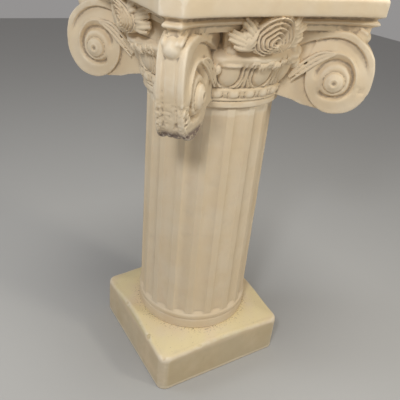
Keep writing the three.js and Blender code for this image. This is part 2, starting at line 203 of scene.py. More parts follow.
def curve(path, count):
    """Evenly shared points on a smooth curve through a path's points."""
    path = np.asarray(path, float)
    ends = np.concatenate([[2 * path[0] - path[1]], path, [2 * path[-1] - path[-2]]])
    share = np.linspace(0, len(path) - 1, count)
    i = np.minimum(share.astype(int), len(path) - 2)
    f = (share - i)[:, None]
    p = [ends[i + k] for k in range(4)]
    return 0.5 * (
        2 * p[1]
        + (p[2] - p[0]) * f
        + (2 * p[0] - 5 * p[1] + 4 * p[2] - p[3]) * f**2
        + (3 * p[1] - p[0] - 3 * p[2] + p[3]) * f**3
    )


def loft(loops):
    """A closed shell through loops of equally many points, with a fan at each end."""
    loops = np.asarray(loops, float)
    levels, count = loops.shape[:2]
    points = np.concatenate([loops.reshape(-1, 3), loops[[0, -1]].mean(axis=1)])
    ring = np.arange(count)
    after = (ring + 1) % count
    low = (np.arange(levels - 1) * count)[:, None]
    sides = np.stack([low + ring, low + after, low + after + count, low + ring + count], -1)
    sides = sides.reshape(-1, 4)
    foot = np.stack([np.full(count, len(points) - 2), after, ring], -1)
    head = np.stack([np.full(count, len(points) - 1), ring, after], -1)
    head[:, 1:] += (levels - 1) * count
    return points, np.concatenate([sides[:, [0, 1, 2]], sides[:, [0, 2, 3]], foot, head])


def tube(path, radii, sides=10, steps=24):
    """A round rod along a path, with a radius at each of its points."""
    centres = curve(path, steps)
    radii = np.interp(np.linspace(0, 1, steps), np.linspace(0, 1, len(radii)), radii)
    along = np.gradient(centres, axis=0)
    along /= np.linalg.norm(along, axis=1)[:, None]
    across = np.cross(along, np.where(np.abs(along[:, 2:]) > 0.9, (1.0, 0, 0), (0, 0, 1.0)))
    across /= np.linalg.norm(across, axis=1)[:, None]
    other = np.cross(along, across)
    angle = np.linspace(0, 2 * np.pi, sides, endpoint=False)[:, None]
    spokes = np.cos(angle) * across[:, None] + np.sin(angle) * other[:, None]
    return loft(centres[:, None] + radii[:, None, None] * spokes)


def pod(centre, radii, turn=0.0):
    """A rounded lump, turned in the plane that faces -Y."""
    share = np.linspace(0.03, np.pi - 0.03, 15)[:, None]
    angle = np.linspace(0, 2 * np.pi, 24, endpoint=False)
    x = radii[0] * np.sin(share) * np.cos(angle)
    y = radii[1] * np.sin(share) * np.sin(angle)
    z = radii[2] * np.cos(share) + 0 * angle
    c, s = np.cos(np.radians(turn)), np.sin(np.radians(turn))
    return loft(np.stack([x * c + z * s, y, z * c - x * s], -1) + np.asarray(centre, float))


def turned(shell, degrees):
    """A shell turned about the column's axis."""
    c, s = np.cos(np.radians(degrees)), np.sin(np.radians(degrees))
    return shell[0] @ np.array([[c, s, 0], [-s, c, 0], [0, 0, 1]]), shell[1]


def joined(shells):
    """All shells as one set of points and triangles."""
    starts = np.cumsum([0] + [len(points) for points, _ in shells[:-1]])
    points = np.concatenate([points for points, _ in shells])
    return points, np.concatenate([faces + start for (_, faces), start in zip(shells, starts)])


def make_piece(name, points, triangles):
    """A mesh object, from points in millimetres."""
    mesh = bpy.data.meshes.new(name)
    mesh.vertices.add(len(points))
    mesh.vertices.foreach_set("co", (np.asarray(points) * MILLIMETRE).astype(np.float32).ravel())
    mesh.loops.add(3 * len(triangles))
    mesh.loops.foreach_set("vertex_index", triangles.astype(np.int32).ravel())
    mesh.polygons.add(len(triangles))
    mesh.polygons.foreach_set("loop_start", np.arange(0, 3 * len(triangles), 3, dtype=np.int32))
    mesh.update(calc_edges=True)
    mesh.validate()
    piece = bpy.data.objects.new(name, mesh)
    bpy.context.scene.collection.objects.link(piece)
    return piece


def apply_modifier(piece, kind, **settings):
    """Runs one modifier and keeps its result as the piece's mesh."""
    modifier = piece.modifiers.new(kind.lower(), kind)
    for name, value in settings.items():
        setattr(modifier, name, value)
    evaluated = piece.evaluated_get(bpy.context.evaluated_depsgraph_get())
    mesh = bpy.data.meshes.new_from_object(evaluated)
    piece.modifiers.clear()
    old = piece.data
    piece.data = mesh
    bpy.data.meshes.remove(old)


def points_of(piece):
    """The piece's points, in millimetres, and its normals."""
    mesh = piece.data
    points = np.empty(3 * len(mesh.vertices), np.float32)
    mesh.vertices.foreach_get("co", points)
    normals = np.empty(3 * len(mesh.vertices), np.float32)
    mesh.vertices.foreach_get("normal", normals)
    return points.reshape(-1, 3) / MILLIMETRE, normals.reshape(-1, 3)


def move_points(piece, points):
    piece.data.vertices.foreach_set("co", (points * MILLIMETRE).astype(np.float32).ravel())
    piece.data.update()


# Bell of the capital: collar, bead and reel, egg and dart, cushion and throat
def bell_profile(z):
    collar = SHAFT_RADIUS + 7.0
    ledge = SHAFT_RADIUS + 9.5
    track = SHAFT_RADIUS + 14.8 - BEAD_RELIEF
    knots = [
        (582.0, collar - 1.2), (583.2, collar), (591.3, collar), (592.4, collar - 0.8),
        (592.8, collar - 3.0), (593.8, collar - 3.0), (594.2, ledge - 0.8), (595.2, ledge),
        (597.4, ledge), (598.4, ledge - 1), (599.4, track), (615.6, track), (617.0, track + 1.6),
        (650.5, track + 13.2), (652.5, track + 15), (655.5, CUSHION_RADIUS - 1.5),
        (661.0, CUSHION_RADIUS), (668.0, CUSHION_RADIUS + 0.3), (676.0, CUSHION_RADIUS - 1),
        (684.0, CUSHION_RADIUS - 5), (690.0, CUSHION_RADIUS - 12), (696.0, 128.5),
        (ABACUS_FOOT + 8, 127.3),
    ]
    levels, radii = zip(*knots)
    return np.interp(z, levels, radii)


def bead_relief(angle, z):
    place = (angle - BEAD_TURN) * BEADS / 360
    u = place - np.round(place)
    v = (z - BEAD_MIDDLE) / BEAD_HALF_HEIGHT
    bead = np.sqrt(np.clip(1 - np.abs(u / 0.36) ** 2.4 - np.abs(v) ** 2.2, 0, 1))
    reel_gap = np.abs(np.abs(u) - 0.44)
    reel = 0.8 * np.sqrt(np.clip(1 - np.abs(v / 0.85) ** 2.2, 0, 1)) * step(0.045, 0.022, reel_gap)
    roll = 0.72 * np.sqrt(np.clip(1 - ((z - ROLL_MIDDLE) / ROLL_HALF_HEIGHT) ** 2, 0, 1))
    return BEAD_RELIEF * np.maximum(np.maximum(bead, reel), roll)


def egg_relief(facing, z):
    """Eggs open at the top, each in two thin ridges, with a narrow dart between."""
    relief = np.zeros(np.broadcast(facing, z).shape)
    drop = (z - EGG_MIDDLE) / EGG_HALF_HEIGHT
    drop = np.where(drop > 0, drop * 0.55, drop)
    for n in (-1, 0, 1):
        aside = np.radians(facing - EGG_TURN - n * EGG_SPACING) * EGG_BELL_RADIUS
        away = np.sqrt((aside / EGG_HALF_WIDTH) ** 2 + np.minimum(drop, 0) ** 2)
        egg = EGG_RELIEF * np.sqrt(np.clip(1 - (aside / EGG_HALF_WIDTH) ** 2 - drop**2, 0, 1))
        rim = (away - 1) * EGG_HALF_WIDTH
        ridges = 6.4 * bump(rim - 3.6, 1.5) + 5.6 * bump(rim - 8.0, 1.4)
        ridges = ridges * step(EGG_HALF_GAP, 21, np.abs(aside))
        relief = np.maximum(relief, egg - 1.5 * bump(rim - 0.6, 1.3))
        relief = np.maximum(relief, ridges)
    for n in (-1.5, -0.5, 0.5, 1.5):
        aside = np.abs(np.radians(facing - EGG_TURN - n * EGG_SPACING) * EGG_BELL_RADIUS)
        dart = 6.2 * bump(aside, 1.6 + 1.2 * step(625, 655, z)) * step(617, 622, z)
        relief = np.maximum(relief, dart)
    return relief * step(616.5, 619, z) * step(662, 654, z)


def bell():
    angle = np.linspace(0, 360, 840, endpoint=False)[None]
    z = np.linspace(CAPITAL_FOOT, ABACUS_FOOT + 6, 112)[:, None]
    facing = (angle + 90 + 45) % 90 - 45
    radius = bell_profile(z)
    middle = step(*FACE_HALF_ANGLES, np.abs(facing))
    fullness = FULLNESS * bump(z - FULL_LEVEL, 11) * step(650, 658, z) * middle
    radius = radius + fullness
    radius = np.maximum(radius, FILL_RADIUS * middle * step(668, 674, z))
    radius = radius + bead_relief(angle, z) + egg_relief(facing, z)
    fold = step(654, 662, z) * step(700, 680, z)
    radius = radius + fold * FOLD_DEPTH * np.sin(np.radians(facing * 11 + z * 4)) * middle
    a = np.radians(angle)
    return loft(np.stack([radius * np.cos(a), radius * np.sin(a), z + 0 * a], -1))


# Abacus: hollow sides between four blunt horns
def abacus_outline(inset, horn_inset, z, steps=28):
    half = ABACUS_HALF - horn_inset
    corner = ABACUS_HALF - HORN_WIDTH / np.sqrt(2) - horn_inset * np.tan(np.pi / 8)
    hollow = ABACUS_HOLLOW + inset - horn_inset
    sharpness = 2 + 4 * (inset - horn_inset) / FASCIA_INSET
    share = np.linspace(-1, 1, steps)
    x = corner * share
    y = -(half - hollow * (1 - np.abs(share) ** sharpness))
    side = np.stack([x, y, 0 * x], -1)
    outline = np.concatenate([turned((side, None), 90 * k)[0] for k in range(4)])
    outline[:, 2] = z
    return outline


def abacus():
    fillet = FASCIA_INSET - 12
    fillet_horn = HORN_INSET - 12
    levels = [
        (FASCIA_INSET + 2.5, HORN_INSET + 2.5, ABACUS_FOOT - 0.5),
        (FASCIA_INSET, HORN_INSET, ABACUS_FOOT + 1),
        (FASCIA_INSET - 2, HORN_INSET - 1, 718), (fillet + 3, fillet_horn + 3, 720.8),
        (fillet + 0.5, fillet_horn, 722),
        (fillet, fillet_horn, 724.4), (fillet + 1.5, fillet_horn + 1, RECESS_LEVEL),
        (fillet + 5, fillet_horn + 6, 728), (fillet + 3, fillet_horn + 6, 732),
        (10, 5, FASCIA_LEVEL), (3, 1.5, FASCIA_LEVEL + 0.5),
        (0.8, 0.5, FASCIA_LEVEL + 2), (0.3, 0.3, FASCIA_LEVEL + 5),
        (0, 0, TOP_LEVEL - 5), (0.8, 0.8, TOP_LEVEL - 2), (2.5, 2.5, TOP_LEVEL - 0.5), (5, 5, TOP_LEVEL),
    ]
    return loft([abacus_outline(*level) for level in levels])


# Volutes
def outline_radius(outline, angle):
    """The radius of a volute's outline at an angle from the outward direction."""
    t, w = curve(outline + outline[:1], 400).T
    at = np.arctan2(w, t)
    order = np.argsort(at)
    return np.interp(angle, at[order], np.hypot(t, w)[order], period=2 * np.pi)


def beside(path, t, w, count=120):
    """Distance to a path, positive on its right, and the share of the path passed there."""
    line = curve(path, count)
    near = np.argmin((t[..., None] - line[:, 0]) ** 2 + (w[..., None] - line[:, 1]) ** 2, axis=-1)
    heading = np.gradient(line, axis=0)
    heading /= np.linalg.norm(heading, axis=1)[:, None]
    dt, dw = t - line[near, 0], w - line[near, 1]
    side = np.sign(dt * heading[near, 1] - dw * heading[near, 0])
    return side * np.hypot(dt, dw), near / (count - 1)


def face_lift(t, w):
    """How far a volute's face stands proud of its flat edge."""
    r = np.hypot(t, w)
    lift = CONE_RISE * np.clip(1 - r / CONE_RADIUS, 0, 1)
    inside, passed = beside(COVE_PATH, t, w)
    shallower = np.exp(-np.clip(inside - 3.0, 0, None) / 13)
    lift -= COVE_DEPTH * step(0, 2.6, inside) * shallower * step(1, 0.7, passed)
    turn, passed = beside(TURN_PATH, t, w)
    lift += TURN_RISE * bump(turn, 2.8) * step(1, 0.85, passed)
    groove, passed = beside(GROOVE_PATH, t, w)
    carved_share = step(0, 0.12, passed) * step(1, 0.9, passed)
    lift -= GROOVE_DEPTH * bump(groove, 5.2 - 2.0 * passed) * carved_share
    lift += BOSS_RISE * np.sqrt(np.clip(1 - (r / BOSS_RADIUS) ** 2, 0, 1))
    lift -= 2.6 * bump(r - BOSS_RADIUS - 1.2, 1.5)
    lift += 1.2 * bump(r - 6.4, 1.8) - DIMPLE_DEPTH * bump(r, DIMPLE_RADIUS)
    return lift


def volute_point(t, w, side, lift):
    across = RIM_WIDTH / 2 + (VOLUTE_OUT - t) * SPLAY + lift
    return np.stack([EYE_REACH + t, side * across, EYE_LEVEL + w], -1)


def volute(outline, stretch):
    """Both faces and the rim. Stretch gives the face's scale outwards and below the eye."""
    angle = np.linspace(0, 2 * np.pi, 144, endpoint=False)
    edge = outline_radius(outline, np.angle(np.exp(1j * angle)))
    share = np.linspace(0.01, 1, 56)[:, None]
    t = share * edge * np.cos(angle)
    w = share * edge * np.sin(angle)
    lift = face_lift(t / np.where(t > 0, stretch[0], 1), w / np.where(w < 0, stretch[1], 1))
    lift -= 1.6 * step(0.965, 1, share)
    faces = [volute_point(t, w, side, lift) for side in (1, -1)]
    rim = []
    for q in np.linspace(0.94, -0.94, 39):
        trim = 0.9 * bump(abs(q) - 1, 0.12) + 2.6 * bump(abs(q) - 0.47, 0.085) + 0.7 * (abs(q) < 0.4)
        t = (edge - trim) * np.cos(angle)
        w = (edge - trim) * np.sin(angle)
        points = volute_point(t, w, 1, 0 * t)
        points[:, 1] *= q
        rim.append(points)
    return loft(np.concatenate([faces[0], rim, faces[1][::-1]]))


def neck():
    """The bulk between a volute and the bell, cut back from the volute's faces."""
    outline = [
        (-150, -36), (-88, -36), (-64, -41), (-47, -47), (-20, -51),
        (0, -50), (0, 74), (-47, 80), (-150, 80),
    ]
    t, w = np.array(outline, float).T
    backs = [12, 9, 8, 8, 9, 12]
    depth = np.linspace(1, -1, len(backs))
    loops = []
    for q, back in zip(depth, backs):
        points = volute_point(t, w, 1, -8.0 + 0 * t)
        points[:, 1] *= q
        points[:, 2] += 0.3 * (8 - back) * np.sign(w)
        loops.append(points)
    return loft(loops)


def channel():
    """The volute's channel, flush with its faces, from the bell to the second turn."""
    lower = [(-125, -8), (-96, -2), (-74, 6), (-55, 24), (-38, 37), (-20, 44), (-8, 46)]
    t = np.linspace(-122, -10, 70)
    foot = np.interp(t, *np.array(lower, float).T)
    share = np.linspace(0, 1, 40)
    tt = np.repeat(t[:, None], 40, axis=1)
    ww = foot[:, None] + (80 - foot[:, None]) * share
    lift = face_lift(tt, ww) - 1.0
    lift -= 3.0 * step(0.08, 0, share)
    faces = [volute_point(tt, ww, side, lift) for side in (1, -1)]
    return loft(np.concatenate([faces[0], faces[1][:, ::-1]], axis=1))


def husks(side):
    shells = []
    for path in HUSK_PATHS:
        t, w = np.array(path, float).T
        lift = np.linspace(1.0, 2.4, len(path))
        shells.append(tube(volute_point(t, w, side, lift), [1.4, 2.5, 2.3, 2.0, 1.1]))
    return shells


def knob(hanging):
    """The rounded leaf that laps over the rim under a horn."""
    out, level, reach, height = (32, 67, 23, 17) if hanging else (26, 73, 18, 14)
    shells = [pod((EYE_REACH + out, 0, EYE_LEVEL + level), (reach, 16.5, height))]
    for across in (-12, 7, 12):
        front = EYE_REACH + out + reach - 4
        top = (EYE_REACH + 24, across * 0.9, ABACUS_FOOT + 4)
        middle = (front - abs(across) * 0.45, across, EYE_LEVEL + level + height * 0.5)
        tip = (front - abs(across) * 0.4, across * 0.9, EYE_LEVEL + level + 2)
        shells.append(tube([top, middle, tip], [4.0, 3.6, 1.4]))
    return shells


def volutes():
    shells = []
    for corner in range(4):
        hanging = corner == 3
        outline = HANGING_OUTLINE if hanging else STANDARD_OUTLINE
        stretch = (0.8, 1.26) if hanging else (1, 1)
        parts = [volute(outline, stretch), neck(), channel(), *husks(1), *husks(-1), *knob(hanging)]
        shells += [turned(shell, 90 * corner - 45) for shell in parts]
    return shells


# Rose, leaves and buds of one face
def rose():
    """Nested pointed petals that rise from a low, curled bud."""
    angle = np.linspace(0, 2 * np.pi, 200, endpoint=False)
    share = np.linspace(0.015, 1, 110)[:, None]
    reach = np.interp(np.degrees(angle), *np.array(ROSE_REACH, float).T, period=360)
    edge_out = np.interp(np.degrees(angle), *np.array(ROSE_EDGE_OUT, float).T, period=360)
    waves = 0.2 * np.sin(3 * angle + 4 * share) + 0.09 * np.sin(7 * angle - 5 * share)
    turns = PETAL_TURNS * share + waves * share - angle / (2 * np.pi)
    petal = turns - np.floor(turns)
    out = BUD_OUT + (edge_out - BUD_OUT) * share**1.4
    out = out + PETAL_LIP * (petal**2.2 - 0.4) * step(0.03, 0.15, share)
    out = out - 8 * bump(share * reach, 2.6)
    radius = reach * share
    x = BUD_ASIDE + radius * np.cos(angle)
    z = BUD_LEVEL + radius * np.sin(angle) - 0.1 * out + 2
    front = np.stack([x, -ROSE_PLANE - out, z], -1)
    back = front[-1:] * np.array([0.85, 0, 0.8]) + np.array([0, -ROSE_PLANE + 22, BUD_LEVEL * 0.2])
    return loft(np.concatenate([front, back]))


def frond(root, tip, width, ribs, bow=5.0):
    """A leaf of ribbed fingers in front of the face, between places given as x, how far out, and z."""
    root, tip = (np.array([x, -ROSE_PLANE - out, z], float) for x, out, z in (root, tip))
    along = tip - root
    facing = np.array([0, -1.0, 0])
    across = np.cross(along, facing)
    across *= width / 2 / np.linalg.norm(across)
    shells = []
    for k in np.linspace(-1, 1, ribs):
        end = root + along * (1 - 0.38 * k * k) + across * k - facing * 3 * k * k
        middle = root + along * 0.45 * (1 - 0.2 * k * k) + across * k * 0.8
        middle = middle + facing * bow * (1 - 0.5 * k * k)
        start = root + across * k * 0.35
        shells.append(tube([start, middle, end], [3.0, 3.5, 3.7, 2.3], 9, 14))
        behind = [start - facing * 7, middle - facing * 8, middle * 0.3 + end * 0.7 - facing * 5]
        shells.append(tube(behind, [6, 6, 3], 8, 8))
    return shells


def sprig():
    """Small ribbed leaves that hang over the middle egg's top."""
    shells = []
    for facing, lift in [(-8, 3), (-3, -2), (2, 2), (7, -2), (12, 3), (17, 6)]:
        for k in (-1, 0, 1):
            path = []
            for spread, radius, z in [(0.4, 149, 667), (1.5, 154.5, 660), (2.3, 150.5, 651 + 2 * abs(k))]:
                turn = np.radians(facing + spread * k - 90)
                path.append((radius * np.cos(turn), radius * np.sin(turn), z + lift))
            shells.append(tube(path, [2.2, 2.4, 1.2], 8, 10))
    return shells


def face_carving():
    return [
        rose(),
        *frond((-38, 6, 690), (-82, 2, 708), 25, 5, 3),
        *frond((-34, 8, 702), (-62, 8, 728), 22, 4, 3),
        *frond((-52, 6, 686), (-38, 13, 714), 12, 3, 3),
        *frond((20, 8, 706), (62, 1, 722), 26, 5, 3),
        *frond((24, 6, 692), (60, -2, 702), 18, 4, 3),
        *frond((14, 14, 714), (36, 14, 736), 20, 4, 3),
        pod((-56, -131, 678.5), (11, 10, 10)),
        pod((58, -132, 676), (10, 10, 10)),
        pod((-73, -122, 650), (9, 9, 10), 20),
        pod((72, -125, 672), (13, 12, 13)),
        pod((77, -124, 655), (10, 10, 12), -10),
        *sprig(),
    ]


def carved(name, shells, voxel):
    """One closed mesh from overlapping shells, given wear and brought down to the piece's triangles."""
    points, triangles = joined(shells)
    piece = make_piece(name, points, triangles)
    apply_modifier(piece, "REMESH", mode="VOXEL", voxel_size=voxel * MILLIMETRE)
    wear_capital(piece)
    triangles = sum(len(p.vertices) - 2 for p in piece.data.polygons)
    ratio = min(1, PIECE_TRIANGLES / triangles)
    apply_modifier(piece, "DECIMATE", ratio=ratio, use_collapse_triangulate=True)
    return piece


def capital():
    return carved("plaster_capital", [bell(), abacus(), *volutes()], CAPITAL_VOXEL)


def flowers():
    carving = face_carving()
    shells = [turned(shell, 90 * k) for k in range(4) for shell in carving]
    return carved("plaster_flowers", shells, FLOWER_VOXEL)


def dented(points, normals, marks):
    """Points pressed in round each mark, given as its place, width and depth, with ragged edges."""
    for place, width, depth in marks:
        away = np.linalg.norm(points - place, axis=1)
        near = away < 3 * width
        ragged = away[near] + 0.35 * width * noise(points[near], 0.6 * width, 9)
        points[near] -= normals[near] * (depth * step(1.1 * width, 0.5 * width, ragged))[:, None]
    return points


def wear_capital(piece):
    points, normals = points_of(piece)
    points = dented(points, normals, CAPITAL_MARKS)
    lumps = 0.3 * noise(points, 14, 1) + 0.15 * noise(points, 5, 2)
    points += normals * lumps[:, None]
    # The front volute's lower rim is rough and broken.
    out = (points[:, 0] + points[:, 1]) / -np.sqrt(2)
    across = (points[:, 0] - points[:, 1]) / np.sqrt(2)
    front = step(EYE_REACH - 60, EYE_REACH - 40, out) * step(*FRONT_HALF_WIDTH, np.abs(across))
    rough = front * step(EYE_LEVEL + 6, EYE_LEVEL - 14, points[:, 2])
    rough = rough * step(EYE_REACH + 5, EYE_REACH + 25, out)
    grain = noise(points, 3.2, 3) + 0.7 * noise(points, 6.5, 4)
    edge = step(9, 16, np.abs(across))
    points -= normals * (rough * (1.2 + 0.9 * edge) * np.clip(grain, -0.2, 1.6))[:, None]
    broken = front * step(EYE_LEVEL - 46, EYE_LEVEL - 60, points[:, 2])
    points -= normals * (broken * (0.3 + 1.3 * np.clip(grain + 0.3, 0, 1.6)))[:, None]
    points[:, 2] = np.minimum(points[:, 2], TOP_LEVEL - 0.05)
    move_points(piece, points)


# Shaft
def shaft():
    angle = np.linspace(0, 360, 720, endpoint=False)[None]
    low = np.linspace(SHAFT_FOOT, 142, 42)
    z = np.concatenate([low, np.linspace(145, SHAFT_TOP, 84)])[:, None]
    pitch = 360 / FLUTES
    half_flute = pitch / 2 - np.degrees(FLUTE_FILLET / SHAFT_RADIUS) / 2
    from_fillet = np.abs((angle - (FLUTE_TURN - 90) + pitch / 2) % pitch - pitch / 2)
    inward = np.clip((from_fillet - (pitch / 2 - half_flute)) / half_flute, 0, 1)
    flute = FLUTE_DEPTH * np.sin(np.pi / 2 * inward) ** 0.7
    rise = step(135.5, 141, z)
    fluted = SHAFT_RADIUS - flute * rise
    knots = [
        (100.3, 116.6), (101.6, 117.9), (110, 118.2), (119.5, 117.9), (121.6, 116.6), (122.6, 115.6),
        (123.8, 116.4), (125.2, 118.3), (131.5, 118.5), (133.6, 117.6), (135.4, 115.4), (137.0, 112.4),
    ]
    levels, radii = zip(*knots)
    rings = np.where(z <= 137.0, np.interp(z, levels, radii), 0)
    radius = np.maximum(np.where(z < 134.8, 0, fluted), rings)
    a = np.radians(angle)
    points, triangles = loft(np.stack([radius * np.cos(a), radius * np.sin(a), z + 0 * a], -1))
    outward = np.stack([points[:, 0], points[:, 1], 0 * points[:, 0]], -1)
    outward /= np.maximum(np.linalg.norm(outward, axis=1), 1)[:, None]
    lumps = 0.3 * noise(points, 22, 5) + 0.12 * noise(points, 7, 6)
    facing = np.degrees(np.arctan2(points[:, 0], -points[:, 1]))
    seam = 0.5 * bump(points[:, 2] - SEAM_LEVEL - 0.05 * facing, 1.6)
    seam = seam * step(-56, -48, facing) * step(-8, -16, facing)
    points += outward * (lumps - 0.4 + seam)[:, None]
    points[:, :2] *= np.minimum(1, 118.4 / np.maximum(np.hypot(points[:, 0], points[:, 1]), 1))[:, None]
    return make_piece("plaster_shaft", points, triangles)


# Plinth
def plinth():
    """A rounded block whose top edges arch and whose top swells up to the shaft's ring."""
    count = 480
    share = np.linspace(0, 4, count, endpoint=False)
    side = share.astype(int)
    along = (share - side) * 2 - 1

    def outline(inset):
        half = PLINTH_HALF - inset
        radius = max(PLINTH_CORNER - inset, 2)
        straight = half - radius
        length = straight + radius * np.pi / 4
        place = along * length
        over = np.clip(np.abs(place) - straight, 0, None) / radius
        x = np.sign(place) * (np.minimum(np.abs(place), straight) + radius * np.sin(over))
        y = -(straight + radius * np.cos(over))
        c, s = np.cos(side * np.pi / 2), np.sin(side * np.pi / 2)
        return np.stack([x * c - y * s, x * s + y * c], -1)

    def edge_height(xy):
        front = np.abs(xy[:, 1]) > np.abs(xy[:, 0])
        reach = np.minimum(np.abs(xy[:, 0]), np.abs(xy[:, 1])) / PLINTH_HALF
        return PLINTH_EDGE + np.where(front, FRONT_ARCH, SIDE_ARCH) * (1 + np.cos(np.pi * reach)) / 2

    loops = []
    for inset, lift in [(3, 0), (1.2, 0.4), (0.4, 1.2), (0, 3)]:
        loops.append(np.column_stack([outline(inset), np.full(count, lift)]))
    wall = outline(0)
    top = edge_height(wall)
    for part in np.linspace(0.04, 1, 40):
        loops.append(np.column_stack([wall, 3 + (top - 9 - 3) * part]))
    for turn in np.linspace(0.2, 1, 8):
        inset = 8 * (1 - np.cos(turn * np.pi / 2))
        loops.append(np.column_stack([outline(inset), top - 9 + 8.5 * np.sin(turn * np.pi / 2)]))
    rim = loops[-1]
    seat = rim.copy()
    seat[:, :2] *= (SEAT_RADIUS / np.hypot(rim[:, 0], rim[:, 1]))[:, None]
    seat[:, 2] = SEAT_LEVEL
    for part in np.linspace(0.05, 1, 26):
        between = rim + (seat - rim) * part
        between[:, 2] = rim[:, 2] + (seat[:, 2] - rim[:, 2]) * np.sin(part * np.pi / 2) ** 1.1
        loops.append(between)
    for radius in (112, 90, 60, 25):
        inner = seat.copy()
        inner[:, :2] *= radius / SEAT_RADIUS
        loops.append(inner)
    points, triangles = loft(loops)
    outward = points - np.array([0, 0, 60])
    outward[:, 2] *= 1.6
    outward /= np.linalg.norm(outward, axis=1)[:, None]
    beyond_seat = np.hypot(points[:, 0], points[:, 1]) + 200 * (points[:, 2] < 80)
    free = step(2, 6, points[:, 2]) * step(112, 119, beyond_seat)
    lumps = 0.55 * noise(points, 26, 7) + 0.25 * noise(points, 8, 8) - 0.6
    points += outward * (lumps * free)[:, None]
    points = dented(points, outward, PLINTH_MARKS)
    return make_piece("plaster_plinth", points, triangles)


def mark_hollows(piece, rounds=6):
    """Stores how hollow the surface is at each point: about 1 deep in a hollow and -1 on a ridge."""
    points, normals = points_of(piece)
    edges = np.empty(2 * len(piece.data.edges), np.int32)
    piece.data.edges.foreach_get("vertices", edges)
    a, b = edges.reshape(-1, 2).T
    count = np.bincount(a, minlength=len(points)) + np.bincount(b, minlength=len(points))
    blurred = points.copy()
    for _ in range(rounds):
        total = np.stack(
            [
                np.bincount(a, blurred[b, k], len(points)) + np.bincount(b, blurred[a, k], len(points))
                for k in range(3)
            ],
            -1,
        )
        blurred = total / np.maximum(count, 1)[:, None]
    hollow = ((blurred - points) * normals).sum(axis=1)
    for sign in (1, -1):
        chosen = hollow * sign > 0
        hollow[chosen] /= max(np.percentile(np.abs(hollow[chosen]), 90), LEAST_HOLLOW)
    attribute = piece.data.attributes.new("hollow", "FLOAT", "POINT")
    attribute.data.foreach_set("value", hollow.astype(np.float32))


# Plaster
class Nodes:
    """Short calls that add shader nodes and link them."""

    def __init__(self, material):
        self.tree = material.node_tree
        self.shader = self.tree.nodes["Principled BSDF"]
        self.place = self.add("ShaderNodeTexCoord").outputs["Object"]

    def add(self, kind, **settings):
        node = self.tree.nodes.new(kind)
        for name, value in settings.items():
            setattr(node, name, value)
        return node

    def put(self, socket, value):
        if isinstance(value, bpy.types.NodeSocket):
            self.tree.links.new(value, socket)
        else:
            socket.default_value = value

    def noise(self, size, detail=3.0, rough=0.55, place=None):
        """Noise whose lumps have a size in metres."""
        node = self.add("ShaderNodeTexNoise")
        self.put(node.inputs["Vector"], place or self.place)
        self.put(node.inputs["Scale"], 1 / size)
        self.put(node.inputs["Detail"], detail)
        self.put(node.inputs["Roughness"], rough)
        return node.outputs["Fac"]

    def math(self, operation, a, b=0.5):
        node = self.add("ShaderNodeMath", operation=operation)
        self.put(node.inputs[0], a)
        self.put(node.inputs[1], b)
        return node.outputs[0]

    def between(self, value, low, high):
        """0 below low and 1 above high."""
        node = self.add("ShaderNodeMapRange", interpolation_type="SMOOTHSTEP")
        self.put(node.inputs["Value"], value)
        self.put(node.inputs["From Min"], low)
        self.put(node.inputs["From Max"], high)
        return node.outputs["Result"]

    def mix(self, share, low, high):
        node = self.add("ShaderNodeMix", data_type="RGBA")
        self.put(node.inputs["Factor"], share)
        self.put(node.inputs["A"], low)
        self.put(node.inputs["B"], high)
        return node.outputs["Result"]


CREAM = (0.80, 0.64, 0.43, 1)
PALE = (0.82, 0.68, 0.49, 1)
PINKISH = (0.77, 0.59, 0.41, 1)
YELLOW = (0.84, 0.71, 0.39, 1)
# Brownish grey of the painted shade on the plinth's sides.
SIDE_SHADE = (0.46, 0.37, 0.20, 1)
DIRT = (0.23, 0.16, 0.09, 1)
# Dark brown of the painted shade under the front volute.
UNDERSIDE_SHADE = (0.20, 0.14, 0.13, 1)
SHADE = (0.30, 0.23, 0.17, 1)
# Pale cream for the ridges: painted highlight with some wear.
WEAR_AND_HIGHLIGHT = (0.93, 0.82, 0.65, 1)
FLOOR_GREY = (0.46, 0.455, 0.445, 1)
FLOOR_HALF = 4.0
WORLD_WHITE = (1.0, 0.97, 0.96, 1)
WORLD_STRENGTH = 0.30


def plinth_dirt_and_shade(n, colour, place):
    """A yellowed top with dirt round the ring and stray specks, and painted shade on the sides, darkest on the
    front face.
    """
    x, y, z = place
    radius = n.math("SQRT", n.math("ADD", n.math("MULTIPLY", x, x), n.math("MULTIPLY", y, y)))
    top = n.math("MULTIPLY", n.between(z, 0.080, 0.090), n.between(n.noise(0.09, 3), 0.3, 0.6))
    colour = n.mix(n.math("MULTIPLY", top, 0.7), colour, YELLOW)
    ring = n.math("MULTIPLY", n.between(radius, 0.134, 0.118), n.between(z, 0.090, 0.096))
    specks = n.between(n.noise(0.004, 4, 0.7), 0.56, 0.62)
    colour = n.mix(n.math("MULTIPLY", n.math("MULTIPLY", ring, specks), 0.9), colour, DIRT)
    strays = n.between(n.noise(0.003, 3, 0.6), 0.66, 0.71)
    strays = n.math("MULTIPLY", n.between(z, 0.085, 0.09), strays)
    colour = n.mix(n.math("MULTIPLY", strays, 0.7), colour, DIRT)
    # Painted shade: the sides under the top edge are darkened in patches, and the front face more.
    sides = n.math("MULTIPLY", n.between(z, 0.086, 0.070), n.between(n.noise(0.05, 4), 0.2, 0.6))
    colour = n.mix(n.math("MULTIPLY", sides, 0.3), colour, SIDE_SHADE)
    front = n.math("MULTIPLY", n.between(y, -0.1435, -0.1455), n.between(z, 0.086, 0.070))
    return n.mix(n.math("MULTIPLY", front, 0.3), colour, SIDE_SHADE)


